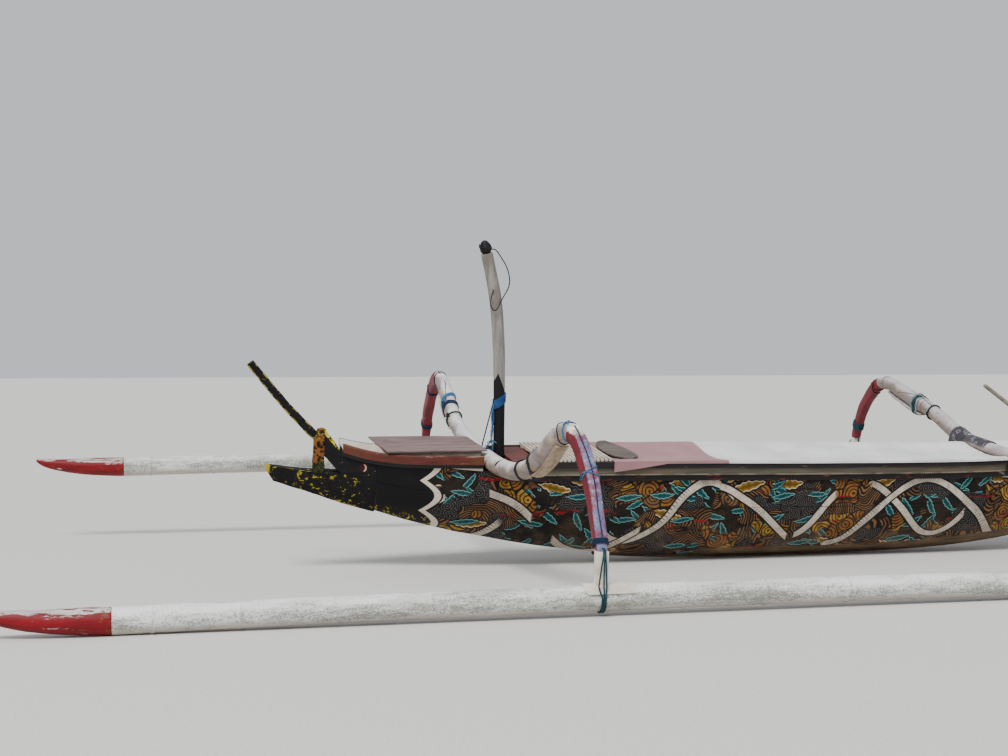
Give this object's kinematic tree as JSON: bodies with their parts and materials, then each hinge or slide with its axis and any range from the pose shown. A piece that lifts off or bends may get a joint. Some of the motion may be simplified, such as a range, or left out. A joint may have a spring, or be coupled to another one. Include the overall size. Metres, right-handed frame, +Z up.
{
  "type": "outrigger canoe",
  "caption": "Double-outrigger fishing canoe with an upswept horned prow, curved booms on bamboo floats, short mast and steering oar.",
  "frame": {"origin": "centre of the bounding box, on the ground the keel plank and the port float rest on", "axes": "+X aft along the hull, +Y to starboard, +Z up; the boat is heeled to port as it rests"},
  "size_m": [7.5472, 3.8614, 1.9291],
  "materials": {
    "mural": "painted ornament, weathered",
    "black": "black paint, chipped",
    "rust": "bare wood, rust brown",
    "mustard": "yellow paint, weathered",
    "wood": "painted grey brown, worn",
    "maroon": "dark red paint, worn",
    "cream": "cream paint, worn",
    "ply": "bare board, weathered",
    "mast": "bare pole, weathered",
    "white": "white paint, worn",
    "tan": "bare branch wood",
    "red": "red paint",
    "bamboo": "bamboo painted white, worn",
    "crimson": "crimson paint, worn",
    "rope": "twisted rope",
    "pink": "woven cloth, faded",
    "tarp": "woven sheet",
    "dark": "printed cloth",
    "oar": "bare bamboo, weathered"
  },
  "bodies": {
    "hull": {"log_fore": "mural", "log_middle": "mural", "log_aft": "mural", "strake_port": "mural", "strake_starboard": "mural", "keel_plank": "wood", "lower_jaw": "black", "snout": "black", "prow_horn": "black", "tusk": "rust", "snout_crest": "mustard", "stern_tail": "mural", "rail_port": "wood", "foredeck_rail_port": "maroon", "rail_starboard": "wood", "foredeck_rail_starboard": "maroon", "foredeck": "cream", "foredeck_board": "ply", "mast": "mast", "mast_knob": "black", "mast_cord": "rope", "mast_thwart": "maroon", "deck_slats": "cream", "cloth_pink": "pink", "cover_white": "tarp", "cover_aft": "tarp", "stowed_board": "wood", "boom_forward": "white", "arm_forward_port": "white", "leg_forward_port": "red", "knee_forward_port": "tan", "saddle_forward_port": "white", "arm_forward_starboard": "white", "leg_forward_starboard": "red", "knee_forward_starboard": "tan", "saddle_forward_starboard": "white", "boom_aft": "white", "arm_aft_port": "white", "leg_aft_port": "red", "knee_aft_port": "tan", "saddle_aft_port": "white", "arm_aft_starboard": "white", "leg_aft_starboard": "red", "knee_aft_starboard": "tan", "saddle_aft_starboard": "white", "cloth_dark": "dark", "float_port": "bamboo", "float_tip_fore_port": "crimson", "float_tip_aft_port": "crimson", "float_starboard": "bamboo", "float_tip_fore_starboard": "crimson", "float_tip_aft_starboard": "crimson", "oar_beam": "wood"},
    "fork": {"oar_fork": "wood"},
    "oar": {"steering_oar": "oar"}
  },
  "joints": [
    {"name": "oar_steer", "type": "hinge", "parent": "hull", "child": "fork", "pos_m": [2.81165, 0.28439, 0.72365], "axis": [0, -0.1117, 0.9937], "range_deg": [-10, 40]},
    {"name": "oar_lift", "type": "hinge", "parent": "fork", "child": "oar", "pos_m": [2.81165, 0.28149, 0.74949], "axis": [0, 0.9937, 0.1117], "range_deg": [-30, 0]}
  ]
}
